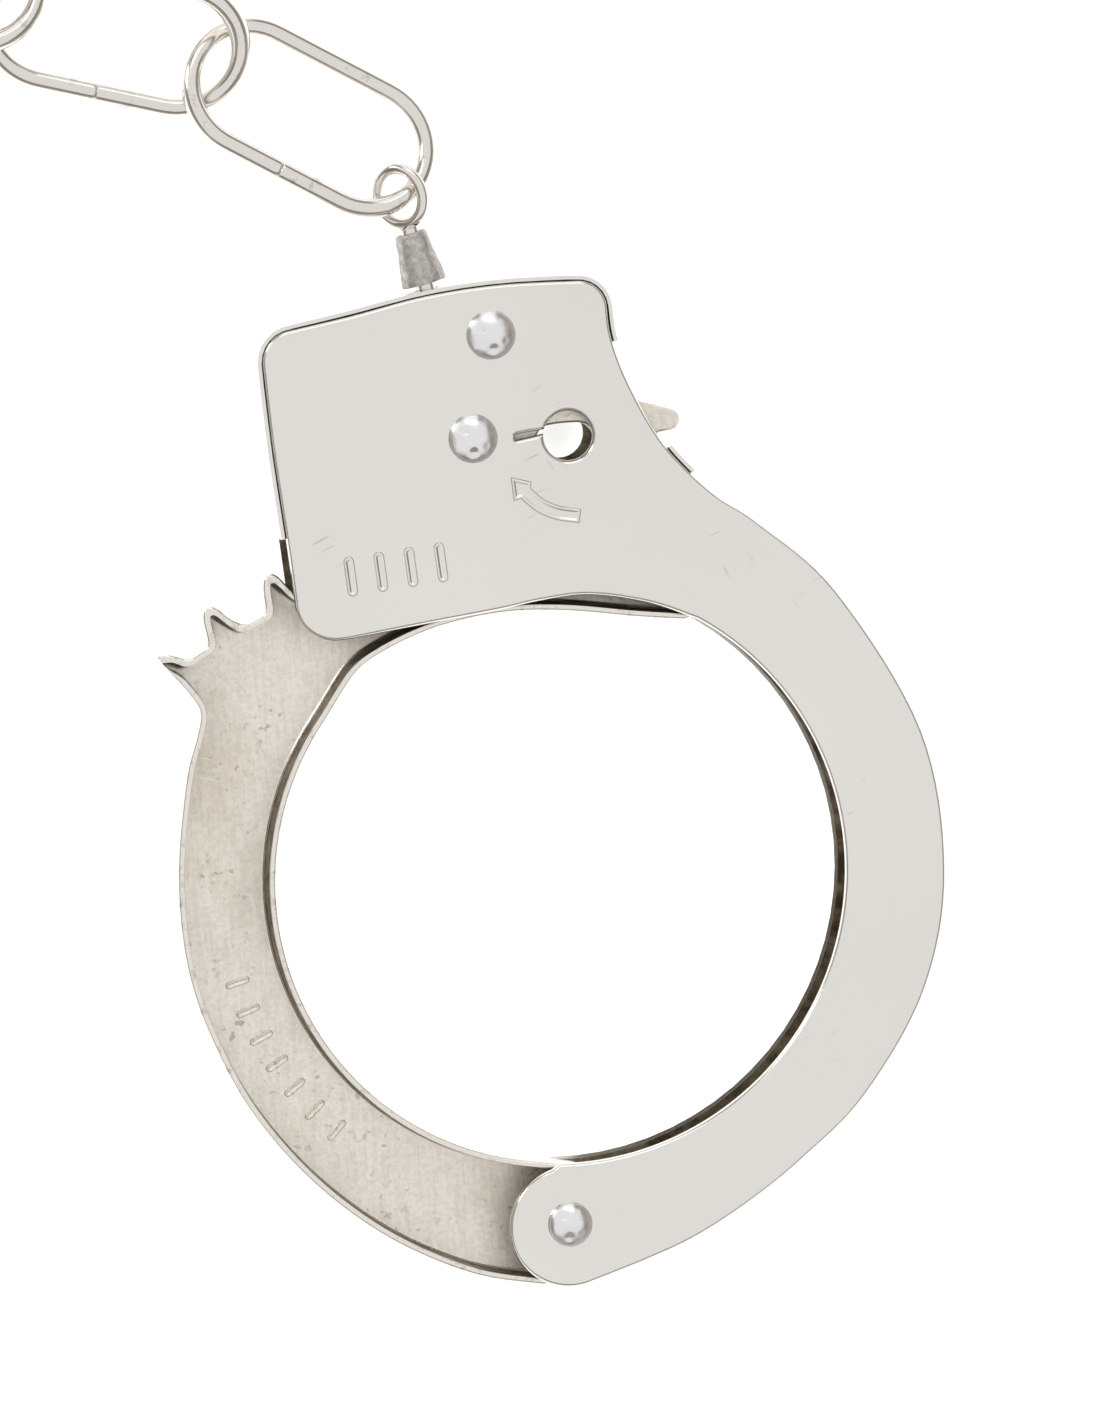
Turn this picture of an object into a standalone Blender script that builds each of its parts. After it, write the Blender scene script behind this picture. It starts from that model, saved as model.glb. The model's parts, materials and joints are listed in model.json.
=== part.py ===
"""A pair of handcuffs with a three-link chain, as separate stamped, turned and bent pieces.

Each cuff lies flat with its front plate up. X and Y span the plates and Z is their thickness. The origin is on
the floor under the middle link. Cuff A is at +X, -Y, and cuff B is the same cuff turned half a turn about Z.
"""

import math

import bmesh
import bpy
from mathutils import Matrix, Vector

MM = 0.001  # every size below is in millimetres

# Cuff frame: the origin is the centre of the wrist opening, +Y points to the lock housing.
CUFF_CENTRE = (41.6, -79.0)
SHEET = 0.7  # thickness of the cheek plates
PLATE_GAP = 5.0  # free height between the two cheek plates
HEAD_REAR = 0.7  # height of the rivets' rear heads, which the cuffs lie on
HEAD_FRONT = 1.05
SEAT = 0.1  # gap left where one piece bears on another
REAR_FACE = HEAD_REAR + SEAT
REAR_INSIDE = REAR_FACE + SHEET
FRONT_INSIDE = REAR_INSIDE + PLATE_GAP
FRONT_FACE = FRONT_INSIDE + SHEET
MID_Z = (REAR_INSIDE + FRONT_INSIDE) / 2

WRIST_RADIUS = 27.35
PLATE_EDGE = 0.38  # radius rolled on the plates' outer edges
END_CENTRE = (0.94, -33.4)  # round end of the plates, about the arm's pivot
END_RADIUS = 5.73

# Side wall of the rear shell, standing around the front plate
WALL = 0.36
WALL_GAP = 0.08
WALL_TOP = FRONT_FACE - 0.2
WALL_START = (-25.8, 30.8)  # where the arm's mouth ends
WALL_END = (5.3, 49.5)  # top of the lever's window
TAB_TOP = (10.0, 40.5)  # bottom of the lever's window
TAB_END = (13.0, 37.3)

# Swing arm, a drawn channel with its web at the rear
ARM_PIVOT = (0.94, -33.1)
ARM_CENTRE = (0.0, -0.4)
ARM_INNER = 26.85
ARM_EYE = 5.5
ARM_WALL = 0.62
ARM_WEB = 0.6
ARM_LOW = REAR_INSIDE + 0.35
ARM_HIGH = FRONT_INSIDE - 0.35
TOOTH_TIP = 68.0  # from the arm's pivot
TOOTH_ROOT = 64.6
TOOTH_COUNT = 9
FIRST_TOOTH = 82.0  # degrees about the pivot, the tooth nearest the arm's tip
LAST_TOOTH = 125.9

# Release lever with the pawl's nose
LEVER_PIVOT = (-8.3, 41.2)
LEVER_THICK = 3.2
LEVER_EYE = 3.0
NOSE_TIP = 68.14  # from the arm's pivot: just clear of the teeth, and 3.5 degrees of lever drops it between two

KEYHOLE = (0.75, 41.4)
KEYHOLE_RADIUS = 2.33

# Rivets: place, head radius and shank radius
SPRING_RIVET = (-6.6, 50.9)
RIVET_HEAD = 2.3
PIVOT_HEAD = 2.1
SHANK = 1.45
BORE_GAP = 0.12

# Pawl spring
SPRING_COIL = 2.15
SPRING_WIRE = 0.45
SPRING_TURNS = 3

# Swivel: it leaves the housing's top wall at SWIVEL_FOOT and leans left
SWIVEL_FOOT = (-12.3, 55.25)
SWIVEL_LEAN = 16.0
SWIVEL_ROLL = 35.0  # turn of the eye about its own shank
STEM = 0.95
EYE_ALONG = 8.9  # from the foot to the eye's centre
EYE_HALF = (2.35, 2.65)
EYE_WIRE = 0.56

# Chain links
LINK_WIRE = 0.95
LINK_LENGTH = 25.8
LINK_BEND = 6.0  # radius of the bent ends, to the wire's middle
LINK_1_CENTRE = (-23.23, 71.26, MID_Z - 0.9)  # in cuff A's frame
LINK_1_TURN = 152.5
LINK_2_TURN = 168.0
LINK_1_ROLL = 18.0  # about its own length
LINK_2_ROLL = -22.0

NICKEL = ((0.74, 0.73, 0.70), 0.16, 1.0)
WORN_NICKEL = ((0.62, 0.59, 0.53), 0.34, 1.0)
ALUMINIUM = ((0.80, 0.80, 0.82), 0.25, 1.0)
CAST_ZINC = ((0.46, 0.45, 0.43), 0.55, 1.0)
SPRING_STEEL = ((0.40, 0.39, 0.38), 0.35, 1.0)
BRIGHT_WIRE = ((0.78, 0.76, 0.73), 0.12, 1.0)


# Outlines, as lists of (x, y) in millimetres, anticlockwise

def arc(centre, radius, start, end, steps):
    """Points on a circle from one angle to another, in degrees, both ends included."""
    angles = [math.radians(start + (end - start) * i / steps) for i in range(steps + 1)]
    return [(centre[0] + radius * math.cos(a), centre[1] + radius * math.sin(a)) for a in angles]


def smooth(points, steps=4):
    """A Catmull-Rom curve through the points."""
    ends = [points[0]] + list(points) + [points[-1]]
    curve = []
    for i in range(len(points) - 1):
        a, b, c, d = (Vector(p) for p in ends[i:i + 4])
        for k in range(steps):
            t = k / steps
            curve.append(tuple(0.5 * (2 * b + (c - a) * t + (2 * a - 5 * b + 4 * c - d) * t * t
                                      + (3 * b - a - 3 * c + d) * t ** 3)))
    return curve + [tuple(points[-1])]


def offset(points, distance, closed=False):
    """The line moved to its right by a distance, which is outwards on an anticlockwise outline."""
    moved = []
    count = len(points)
    for i, point in enumerate(points):
        before = Vector(points[i - 1] if closed or i else points[i])
        after = Vector(points[(i + 1) % count] if closed or i < count - 1 else points[i])
        here = Vector(point)
        sides = [s.normalized() for s in (here - before, after - here) if s.length > 1e-9]
        normal = sum((Vector((s.y, -s.x)) for s in sides), Vector((0, 0))).normalized()
        stretch = max(0.5, normal.dot(Vector((sides[0].y, -sides[0].x))))
        moved.append(tuple(here + normal * distance / stretch))
    return moved


def distinct(points, apart=0.35):
    """The points without any that nearly repeats the one before it."""
    kept = []
    for point in points:
        if not kept or (Vector(point) - Vector(kept[-1])).length > apart:
            kept.append(point)
    if (Vector(kept[0]) - Vector(kept[-1])).length < apart:
        kept.pop()
    return kept


def stretch_of(outline, start, end):
    """The part of an outline from the point nearest one place to the point nearest another."""
    def nearest(place):
        return min(range(len(outline)), key=lambda i: (Vector(outline[i]) - Vector(place)).length)
    first, last = nearest(start), nearest(end)
    if last < first:
        last += len(outline)
    return [outline[i % len(outline)] for i in range(first, last + 1)]


def halfway(points):
    """The middle of each step along an open line, so the line's corners miss those of its source."""
    return [tuple((Vector(a) + Vector(b)) / 2) for a, b in zip(points, points[1:])]


def cheek_outline():
    """The plates' outline: round end, back of the ring, housing, and the wrist opening."""
    back = [(3.29, -38.63), (8.4, -36.7), (13.1, -34.6), (18.2, -31.4), (23.3, -27.4), (29.4, -21.35),
            (35.1, -11.4), (37.05, 0), (34.7, 13.3), (26.5, 26.5), (19.05, 33.0)]
    hollow = [(14.9, 35.7), (11.3, 39.0), (8.8, 42.2), (6.3, 46.9), (4.95, 50.6), (4.55, 53.2)]
    top = [(1.75, 56.0), (-5.7, 55.65), (-12.8, 54.6), (-19.8, 52.8), (-25.85, 51.4)]
    left = [(-28.15, 47.9), (-27.35, 41.0), (-26.5, 35.3), (-25.8, 30.8), (-25.15, 26.1)]
    mouth = [(-20.5, 22.33), (-13.25, 23.7), (-5.7, 25.05), (-2.0, 25.85), (2.7, 26.4), (8.4, 25.6), (13.1, 24.0)]
    points = arc(END_CENTRE, END_RADIUS, 108, 294, 12)
    points += smooth(back + hollow, 4)
    points += arc((1.75, 53.2), 2.8, 0, 90, 6)
    points += smooth(top, 3)
    points += arc((-25.1, 48.4), 3.1, 104, 189, 6)
    points += smooth(left, 2)
    points += arc((-21.3, 26.15), 3.85, 180, 281, 7)
    points += smooth(mouth, 3)
    points += arc((0, 0), WRIST_RADIUS, 60, -90, 30)
    return distinct(points)


def tooth(angle, inset, tip=TOOTH_TIP):
    """One ratchet tooth about the arm's pivot: a slope on the closing side and a steep face on the other."""
    turn = math.degrees(inset / TOOTH_ROOT)
    root = TOOTH_ROOT - inset
    corners = [(angle - 3.0, root), (angle - 2.1 + turn, root), (angle - 1.0 + 0.4 * turn, root + 1.2),
               (angle - 0.15 * turn, tip - 2.2 * inset), (angle + 0.95 - turn, root + 0.7), (angle + 1.35 - turn, root)]
    return [(ARM_PIVOT[0] + r * math.cos(math.radians(a)), ARM_PIVOT[1] + r * math.sin(math.radians(a)))
            for a, r in corners]


def arm_outline(inset):
    """The arm's outline moved in by a distance: teeth, back, pivot eye, wrist side and tip."""
    points = []
    for i in range(TOOTH_COUNT):
        angle = FIRST_TOOTH + (LAST_TOOTH - FIRST_TOOTH) * i / (TOOTH_COUNT - 1)
        last = i == TOOTH_COUNT - 1
        points += tooth(angle, inset, 66.8 if last else TOOTH_TIP)[:4 if last else 6]
    back_angles = [(165, 36.6), (180, 36.1), (195, 36.15), (210, 36.2), (222, 36.5), (234, 36.95), (246, 37.6),
                   (258, 38.3), (268, 38.6)]
    back = [(-35.9, 18.4), (-34.05, 15.9), (-34.3, 13.4)]
    back += [(ARM_CENTRE[0] + r * math.cos(math.radians(a)), ARM_CENTRE[1] + r * math.sin(math.radians(a)))
             for a, r in back_angles]
    points += offset(smooth(back, 3), -inset)
    points += offset(arc(ARM_PIVOT, ARM_EYE, -88, 88, 12), -inset)
    wrist = arc(ARM_CENTRE, ARM_INNER, 265, 145, 20)
    wrist += smooth([(-20.6, 17.3), (-18.2, 20.2), (-12.2, 23.2), (-5.6, 24.7), (0.5, 24.85), (7.5, 24.2),
                     (12.2, 23.9)], 3)
    points += offset(wrist, -inset)
    points += offset([(13.3, 24.6), (13.5, 26.5), (12.6, 29.6)], -inset)
    return points


def lever_outline():
    """Eye on its rivet, bar over the keyhole, nose down to the teeth, and the finger out to the right."""
    points = arc(LEVER_PIVOT, LEVER_EYE, 80, 290, 14)
    points += [(-5.6, 38.6), (-2.9, 38.8), (-2.3, 39.4), (-2.1, 41.2)]
    points += smooth([(-1.5, 42.2), (0.4, 42.5), (2.6, 42.45), (3.8, 41.2), (4.1, 38.8), (4.4, 36.6)], 3)
    points += arc(ARM_PIVOT, NOSE_TIP, 86.1, 83.2, 4)
    points += smooth([(9.8, 35.6), (9.6, 37.4), (9.1, 39.0), (8.9, 40.4), (9.35, 41.45), (10.5, 41.75)], 3)
    points += arc((10.65, 42.8), 1.0, -75, 75, 6)
    points += smooth([(7.9, 44.5), (6.0, 45.5), (2.5, 46.3), (-1.5, 46.1), (-5.0, 44.9)], 2)
    return distinct(points)


# Mesh makers

def add_object(name, bm, finish, parent=None, at=(0, 0, 0), turn=None):
    """Makes the object from a bmesh that holds millimetres, about its own origin."""
    bmesh.ops.recalc_face_normals(bm, faces=bm.faces)
    bmesh.ops.scale(bm, vec=(MM, MM, MM), verts=bm.verts)
    mesh = bpy.data.meshes.new(name)
    bm.to_mesh(mesh)
    bm.free()
    mesh.shade_smooth()
    mesh.set_sharp_from_angle(angle=math.radians(32))
    mesh.materials.append(finish)
    obj = bpy.data.objects.new(name, mesh)
    bpy.context.scene.collection.objects.link(obj)
    obj.parent = parent
    obj.location = Vector(at) * MM
    if turn is not None:
        obj.rotation_euler = turn.to_euler()
    return obj


def add_ring(bm, outline, z):
    return [bm.verts.new((x, y, z)) for x, y in outline]


def bridge(bm, first, second):
    count = len(first)
    for i in range(count):
        k = (i + 1) % count
        bm.faces.new((first[i], first[k], second[k], second[i]))


def close_ends(bm, rings):
    """Caps the first and the last ring."""
    caps = [bm.faces.new(rings[0][::-1]), bm.faces.new(rings[-1])]
    for cap in caps:
        cap.normal_update()
    bmesh.ops.triangulate(bm, faces=caps, ngon_method="EAR_CLIP")


def layered(outline, levels):
    """A solid of stacked outlines. Each level is (z, how far the outline moves in)."""
    bm = bmesh.new()
    rings = [add_ring(bm, offset(outline, -inset, True) if inset else outline, z) for z, inset in levels]
    for lower, upper in zip(rings, rings[1:]):
        bridge(bm, lower, upper)
    close_ends(bm, rings)
    return bm


def swept(edge, section):
    """A strip along an open line. The section's points are (distance to the line's right, z)."""
    bm = bmesh.new()
    lines = [offset(edge, across) for across, _ in section]
    rings = [[bm.verts.new((*line[i], z)) for line, (_, z) in zip(lines, section)] for i in range(len(edge))]
    for first, second in zip(rings, rings[1:]):
        bridge(bm, first, second)
    close_ends(bm, rings)
    return bm


def turned(profile, steps=24, centre=(0, 0)):
    """A solid of revolution about Z from (radius, z) points. A closed profile has no point on the axis."""
    bm = bmesh.new()
    solid = profile[0][0] == 0
    rings = [add_ring(bm, arc(centre, r, 0, 360 * (steps - 1) / steps, steps - 1), z)
             for r, z in profile if r > 0]
    for lower, upper in zip(rings, rings[1:]):
        bridge(bm, lower, upper)
    if not solid:
        bridge(bm, rings[-1], rings[0])
        return bm
    for ring, z in ((rings[0], profile[0][1]), (rings[-1], profile[-1][1])):
        pole = bm.verts.new((*centre, z))
        for i in range(steps):
            bm.faces.new((ring[i], ring[(i + 1) % steps], pole))
    return bm


def looped_wire(path, across, radius, sides):
    """A closed round wire along a flat loop. The path is a list of Vectors, and across is the loop's normal."""
    bm = bmesh.new()
    rings = []
    for i, point in enumerate(path):
        along = (path[(i + 1) % len(path)] - path[i - 1]).normalized()
        outwards = along.cross(across)
        angles = [2 * math.pi * k / sides for k in range(sides)]
        rings.append([bm.verts.new(point + radius * (outwards * math.cos(a) + across * math.sin(a)))
                      for a in angles])
    for i, ring in enumerate(rings):
        bridge(bm, ring, rings[(i + 1) % len(rings)])
    return bm


def cutter(name, bm, parent=None, at=(0, 0, 0), turn=None):
    """A helper that cuts or joins, left out of the model itself."""
    obj = add_object(name, bm, bpy.data.materials["helper"], parent, at, turn)
    obj.hide_render = True
    obj.display_type = "WIRE"
    return obj


def boolean(obj, other, operation):
    modifier = obj.modifiers.new(other.name, "BOOLEAN")
    modifier.object = other
    modifier.operation = operation
    modifier.solver = "EXACT"


def material(name, colour, roughness, metallic):
    made = bpy.data.materials.new(name)
    made.use_nodes = True
    shader = made.node_tree.nodes["Principled BSDF"]
    shader.inputs["Base Color"].default_value = (*colour, 1)
    shader.inputs["Roughness"].default_value = roughness
    shader.inputs["Metallic"].default_value = metallic
    return made


# The pieces of one cuff

def hole(radius, low=0.0, high=20.0, steps=24):
    return turned([(0, low), (radius, low), (radius, high), (0, high)], steps)


def cut_rivet_holes(plate, cuff):
    for place in (ARM_PIVOT, LEVER_PIVOT, SPRING_RIVET):
        name = f"cut_rivet_{plate.name}_{round(place[1])}"
        boolean(plate, cutter(name, hole(SHANK + BORE_GAP, -2, 20, 16), cuff, (*place, 0)), "DIFFERENCE")


def keyhole_cutter(name, cuff, low, high):
    """The round hole, with the slot for the key's bit on its left."""
    slot = [(-5.0, 0.14), (-5.0, -0.42), (-2.1, 0.22), (0, 0.3), (0, 1.1), (-2.2, 0.6)]
    made = cutter(name, hole(KEYHOLE_RADIUS, low, high, 28), cuff, (*KEYHOLE, 0))
    boolean(made, cutter(f"{name}_slot", layered(slot, [(low, 0), (high, 0)]), cuff, (*KEYHOLE, 0)), "UNION")
    return made


def front_plate(side, cuff, finish):
    levels = [(FRONT_INSIDE, 0), (FRONT_FACE - PLATE_EDGE, 0), (FRONT_FACE - 0.11, 0.11), (FRONT_FACE, PLATE_EDGE)]
    plate = add_object(f"front_plate_{side}", layered(cheek_outline(), levels), finish, cuff)
    cut_rivet_holes(plate, cuff)
    boolean(plate, keyhole_cutter(f"cut_keyhole_front_{side}", cuff, 5, 9), "DIFFERENCE")


def rear_shell(side, cuff, finish):
    """The rear plate, with the housing's side wall in two stretches either side of the lever's window."""
    outline = cheek_outline()
    levels = [(REAR_FACE, PLATE_EDGE), (REAR_FACE + 0.11, 0.11), (REAR_FACE + PLATE_EDGE, 0), (REAR_INSIDE, 0)]
    shell = add_object(f"rear_shell_{side}", layered(outline, levels), finish, cuff)
    foot_low, foot_high = REAR_FACE + 0.2, REAR_INSIDE - 0.05
    section = [(-0.45, foot_low), (WALL_GAP + WALL - 0.15, foot_low), (WALL_GAP + WALL, foot_low + 0.15),
               (WALL_GAP + WALL, WALL_TOP), (WALL_GAP, WALL_TOP), (WALL_GAP, foot_high), (-0.45, foot_high)]
    for label, start, end in (("tab", TAB_END, TAB_TOP), ("wall", WALL_END, WALL_START)):
        strip = cutter(f"{label}_{side}", swept(halfway(stretch_of(outline, start, end)), section), cuff)
        boolean(shell, strip, "UNION")
    cut_rivet_holes(shell, cuff)
    boolean(shell, keyhole_cutter(f"cut_keyhole_rear_{side}", cuff, 0, 3), "DIFFERENCE")
    foot = cutter(f"cut_swivel_{side}", hole(STEM + 0.22, -3, 2, 20), cuff, (*SWIVEL_FOOT, MID_Z), swivel_turn())
    boolean(shell, foot, "DIFFERENCE")


def swing_arm(side, cuff, finish):
    """The toothed channel, about its pivot: a web at the rear and a wall along its whole outline."""
    px, py = ARM_PIVOT
    bm = bmesh.new()
    outer = [(x - px, y - py) for x, y in arm_outline(0)]
    inner = [(x - px, y - py) for x, y in arm_outline(ARM_WALL)]
    rings = [add_ring(bm, outer, ARM_LOW), add_ring(bm, outer, ARM_HIGH), add_ring(bm, inner, ARM_HIGH),
             add_ring(bm, inner, ARM_LOW + ARM_WEB)]
    for lower, upper in zip(rings, rings[1:]):
        bridge(bm, lower, upper)
    close_ends(bm, rings)
    arm = add_object(f"swing_arm_{side}", bm, finish, cuff, (px, py, 0))
    boolean(arm, cutter(f"cut_arm_{side}", hole(2.75, -2, 20), cuff, (px, py, 0)), "DIFFERENCE")


def release_lever(side, cuff, finish):
    px, py = LEVER_PIVOT
    low, high = MID_Z - LEVER_THICK / 2, MID_Z + LEVER_THICK / 2
    outline = [(x - px, y - py) for x, y in lever_outline()]
    levels = [(low, 0.2), (low + 0.2, 0), (high - 0.2, 0), (high, 0.2)]
    lever = add_object(f"release_lever_{side}", layered(outline, levels), finish, cuff, (px, py, 0))
    boolean(lever, cutter(f"cut_lever_{side}", hole(SHANK + BORE_GAP, -2, 20, 20), cuff, (px, py, 0)), "DIFFERENCE")


def rivet(name, place, head, cuff, finish):
    """A solid rivet: a low rear head to lie on, the shank, and the head formed at the front."""
    top = FRONT_FACE + SEAT
    rear = [(head - 0.75, 0), (head - 0.2, 0.28), (head, HEAD_REAR)]
    dome = [(head, top), (head * 0.93, top + 0.42 * HEAD_FRONT), (head * 0.72, top + 0.78 * HEAD_FRONT),
            (head * 0.4, top + 0.96 * HEAD_FRONT)]
    profile = [(0, 0)] + rear + [(SHANK, HEAD_REAR), (SHANK, top)] + dome + [(0, top + HEAD_FRONT)]
    add_object(name, turned(profile, 20), finish, cuff, (*place, 0))


def sleeve(name, place, inner, outer, low, high, cuff, finish, steps=20):
    """A plain tube or washer about Z."""
    profile = [(inner, low), (outer, low), (outer, high), (inner, high)]
    add_object(name, turned(profile, steps), finish, cuff, (*place, 0))


def pawl_spring(side, cuff, finish):
    """A torsion spring: one leg up under the top wall, a coil about its bush, one leg down on the lever."""
    ux, uy = SPRING_RIVET
    low, high = 2.6, 5.4
    start, end = -107.5, 104.0 - 360.0 * SPRING_TURNS
    lever_end = (3.0, 46.85, low)
    wall_end = (1.4, 55.35, high)
    steps = 12 * SPRING_TURNS
    points = [lever_end]
    for i in range(steps + 1):
        angle = math.radians(start + (end - start) * i / steps)
        points.append((ux + SPRING_COIL * math.cos(angle), uy + SPRING_COIL * math.sin(angle),
                       low + (high - low) * i / steps))
    points.append(wall_end)
    curve = bpy.data.curves.new(f"pawl_spring_{side}", "CURVE")
    curve.dimensions = "3D"
    curve.bevel_depth = SPRING_WIRE / 2 * MM
    curve.bevel_resolution = 1
    curve.use_fill_caps = True
    spline = curve.splines.new("POLY")
    spline.points.add(len(points) - 1)
    for point, (x, y, z) in zip(spline.points, points):
        point.co = ((x - ux) * MM, (y - uy) * MM, z * MM, 1)
    curve.materials.append(finish)
    obj = bpy.data.objects.new(f"pawl_spring_{side}", curve)
    bpy.context.scene.collection.objects.link(obj)
    obj.parent = cuff
    obj.location = (ux * MM, uy * MM, 0)


def swivel_turn():
    """Turns a piece's +Z onto the swivel's axis, which lies in the plates' plane."""
    along = Vector((-math.sin(math.radians(SWIVEL_LEAN)), math.cos(math.radians(SWIVEL_LEAN)), 0))
    across = Vector((0, 0, 1))
    return Matrix((across.cross(along), across, along)).transposed()


def swivel(side, cuff, roll, eye_finish, cast_finish):
    """Wire eye on a headed stem, the cast ferrule outside the wall and the washer inside it."""
    turn = swivel_turn()
    foot = (*SWIVEL_FOOT, MID_Z)
    steps = 32
    normal = Vector((math.sin(math.radians(roll)), math.cos(math.radians(roll)), 0))
    wide = Vector((math.cos(math.radians(roll)), -math.sin(math.radians(roll)), 0))
    path = [wide * EYE_HALF[0] * math.cos(a) + Vector((0, 0, EYE_ALONG + EYE_HALF[1] * math.sin(a)))
            for a in (2 * math.pi * i / steps for i in range(steps))]
    eye = add_object(f"swivel_eye_{side}", looped_wire(path, normal, EYE_WIRE, 8), eye_finish, cuff, foot, turn)
    stem = [(0, -2.35), (1.5, -2.35), (1.7, -2.15), (1.7, -1.65), (STEM, -1.6), (STEM, 5.5), (0.6, 5.95), (0, 5.95)]
    boolean(eye, cutter(f"stem_{side}", turned(stem, 16), cuff, foot, turn), "UNION")
    ferrule = [(1.08, 0.4), (2.1, 0.4), (2.2, 0.75), (1.6, 5.1), (1.45, 5.35), (1.08, 5.35)]
    add_object(f"swivel_ferrule_{side}", turned(ferrule, 24), cast_finish, cuff, foot, turn)
    washer = [(1.08, -1.5), (2.1, -1.5), (2.1, -0.95), (1.08, -0.95)]
    add_object(f"swivel_washer_{side}", turned(washer, 20), eye_finish, cuff, foot, turn)


def build_cuff(side, centre, half_turn, eye_roll, finishes):
    """All the pieces of one cuff, parented to an empty at the centre of its wrist opening."""
    nickel, worn, alu, cast, spring, bright = finishes
    cuff = bpy.data.objects.new(f"cuff_{side}", None)
    bpy.context.scene.collection.objects.link(cuff)
    cuff.location = (centre[0] * MM, centre[1] * MM, 0)
    cuff.rotation_euler = (0, 0, math.pi if half_turn else 0)
    rear_shell(side, cuff, nickel)
    front_plate(side, cuff, nickel)
    swing_arm(side, cuff, worn)
    release_lever(side, cuff, worn)
    rivet(f"arm_rivet_{side}", ARM_PIVOT, PIVOT_HEAD, cuff, alu)
    rivet(f"lever_rivet_{side}", LEVER_PIVOT, RIVET_HEAD, cuff, alu)
    rivet(f"spring_rivet_{side}", SPRING_RIVET, RIVET_HEAD, cuff, alu)
    bore = SHANK + BORE_GAP
    inside = (REAR_INSIDE + 0.05, FRONT_INSIDE - 0.05)
    sleeve(f"arm_bush_{side}", ARM_PIVOT, bore, 2.6, *inside, cuff, spring)
    sleeve(f"spring_bush_{side}", SPRING_RIVET, bore, 1.8, *inside, cuff, spring)
    lever_low, lever_high = MID_Z - LEVER_THICK / 2, MID_Z + LEVER_THICK / 2
    sleeve(f"lever_washer_rear_{side}", LEVER_PIVOT, bore, 2.7, inside[0], lever_low - SEAT, cuff, spring)
    sleeve(f"lever_washer_front_{side}", LEVER_PIVOT, bore, 2.7, lever_high + SEAT, inside[1], cuff, spring)
    pawl_spring(side, cuff, spring)
    swivel(side, cuff, eye_roll, bright, cast)


# The chain

def chain_link(name, centre, turn, roll, finish):
    """A stadium loop of round wire, lying along its own X, turned about Z and rolled about its length."""
    half = LINK_LENGTH / 2 - LINK_WIRE - LINK_BEND
    bends = arc((half, 0), LINK_BEND, -90, 90, 12) + arc((-half, 0), LINK_BEND, 90, 270, 12)
    path = [Vector((x, y, 0)) for x, y in bends]
    pose = Matrix.Rotation(math.radians(turn), 3, "Z") @ Matrix.Rotation(math.radians(roll), 3, "X")
    add_object(name, looped_wire(path, Vector((0, 0, 1)), LINK_WIRE, 10), finish, None, centre, pose)


def build_chain(finish):
    x, y, z = LINK_1_CENTRE
    x, y = x + CUFF_CENTRE[0], y + CUFF_CENTRE[1]
    chain_link("chain_link_1", (x, y, z), LINK_1_TURN, LINK_1_ROLL, finish)
    chain_link("chain_link_2", (0, 0, MID_Z), LINK_2_TURN, LINK_2_ROLL, finish)
    chain_link("chain_link_3", (-x, -y, 2 * MID_Z - z), LINK_1_TURN, LINK_1_ROLL, finish)


def main():
    for obj in list(bpy.data.objects):
        bpy.data.objects.remove(obj, do_unlink=True)
    bpy.data.materials.new("helper")
    finishes = [material(name, *look) for name, look in (
        ("nickel_plate", NICKEL), ("worn_nickel", WORN_NICKEL), ("aluminium", ALUMINIUM), ("cast_zinc", CAST_ZINC),
        ("spring_steel", SPRING_STEEL), ("bright_wire", BRIGHT_WIRE))]
    build_cuff("a", CUFF_CENTRE, False, SWIVEL_ROLL, finishes)
    build_cuff("b", (-CUFF_CENTRE[0], -CUFF_CENTRE[1]), True, -SWIVEL_ROLL, finishes)
    build_chain(finishes[5])


main()
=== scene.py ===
"""The look of the handcuffs: finer plates, rivets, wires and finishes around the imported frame.

Lengths are millimetres in the cuff's own frame until a piece is placed. Cuff B is cuff A turned half a turn
about Z.
"""

import json
import math

import bmesh
import bpy
from mathutils import Matrix, Vector, noise


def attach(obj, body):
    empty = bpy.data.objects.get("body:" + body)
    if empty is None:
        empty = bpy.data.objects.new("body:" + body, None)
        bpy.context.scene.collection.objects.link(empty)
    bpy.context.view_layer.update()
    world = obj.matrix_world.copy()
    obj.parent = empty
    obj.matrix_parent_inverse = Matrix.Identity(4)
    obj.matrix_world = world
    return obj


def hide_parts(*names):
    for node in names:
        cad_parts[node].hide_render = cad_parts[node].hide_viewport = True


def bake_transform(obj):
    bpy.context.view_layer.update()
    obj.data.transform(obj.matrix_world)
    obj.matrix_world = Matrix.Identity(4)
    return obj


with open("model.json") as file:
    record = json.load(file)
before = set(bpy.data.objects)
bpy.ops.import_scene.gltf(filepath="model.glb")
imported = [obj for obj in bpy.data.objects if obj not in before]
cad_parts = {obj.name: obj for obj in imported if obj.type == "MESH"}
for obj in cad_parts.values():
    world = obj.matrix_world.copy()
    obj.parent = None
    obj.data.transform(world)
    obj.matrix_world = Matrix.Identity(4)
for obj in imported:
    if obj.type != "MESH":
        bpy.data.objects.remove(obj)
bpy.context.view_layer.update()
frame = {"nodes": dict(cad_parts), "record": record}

MM = 0.001
CUFF_CENTRE = (41.6, -79.0)
REAR_INSIDE, FRONT_INSIDE, FRONT_FACE, MID_Z = 1.5, 6.5, 7.2, 4.0
END_CENTRE = (0.94, -33.4)
END_RADIUS = 5.73
WRIST_RADIUS = 27.35
EDGE_ROLL = 0.5
KEYHOLE = (0.75, 41.4)
KEYHOLE_RADIUS = 2.33
ARM_PIVOT = (0.94, -33.1)
LEVER_PIVOT = (-8.3, 41.2)
SPRING_RIVET = (-6.6, 50.9)
SPRING_COIL, SPRING_WIRE = 2.15, 0.225  # radii
RIVETS = (("arm_rivet", ARM_PIVOT, 2.1), ("lever_rivet", LEVER_PIVOT, 2.3), ("spring_rivet", SPRING_RIVET, 2.3))
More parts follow.
